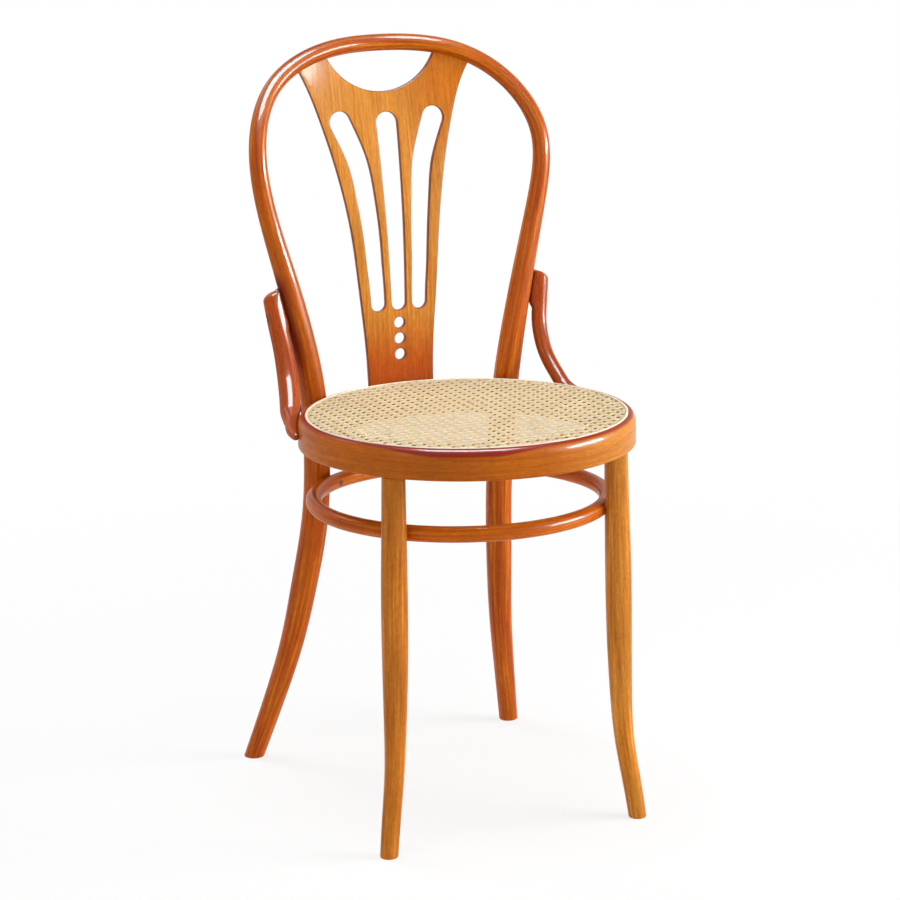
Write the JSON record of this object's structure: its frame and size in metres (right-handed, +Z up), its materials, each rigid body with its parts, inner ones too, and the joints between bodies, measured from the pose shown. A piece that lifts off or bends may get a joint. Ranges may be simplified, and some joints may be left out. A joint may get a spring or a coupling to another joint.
{
  "type": "cane seat side chair",
  "caption": "Armless bentwood side chair: round caned seat, back hoop running down into the rear legs, slotted splat with a hand hold, side braces and a stretcher ring.",
  "frame": {"origin": "middle of the floor plan of the whole chair, on the floor under the feet", "axes": "+Z up, the sitter faces -Y, +X to the right as seen from the front; left and right in the names are as seen from the front"},
  "size_m": [0.3896, 0.4772, 0.8755],
  "materials": {
    "beech": "glossy orange-brown lacquer on steam-bent and turned beech",
    "plywood": "glossy orange-brown lacquer on bent plywood",
    "cane": "natural satin cane",
    "reed": "natural satin reed",
    "steel": "dull dark steel"
  },
  "bodies": {
    "root": {"back_hoop": "beech", "seat_ring": "beech", "front_leg_left": "beech", "front_leg_right": "beech", "stretcher_ring": "beech", "brace_left": "beech", "brace_right": "beech", "splat": "plywood", "cane_panel": "cane", "cane_spline": "reed", "stretcher_screw_front_left": "steel", "stretcher_screw_front_right": "steel", "stretcher_screw_rear_left": "steel", "stretcher_screw_rear_right": "steel", "brace_top_screw_left": "steel", "brace_top_screw_right": "steel", "brace_foot_screw_left": "steel", "brace_foot_screw_right": "steel", "splat_screw_left": "steel", "splat_screw_right": "steel", "seat_bolt_left": "steel", "seat_bolt_right": "steel", "seat_washer_left": "steel", "seat_washer_right": "steel", "seat_nut_left": "steel", "seat_nut_right": "steel"}
  },
  "joints": []
}
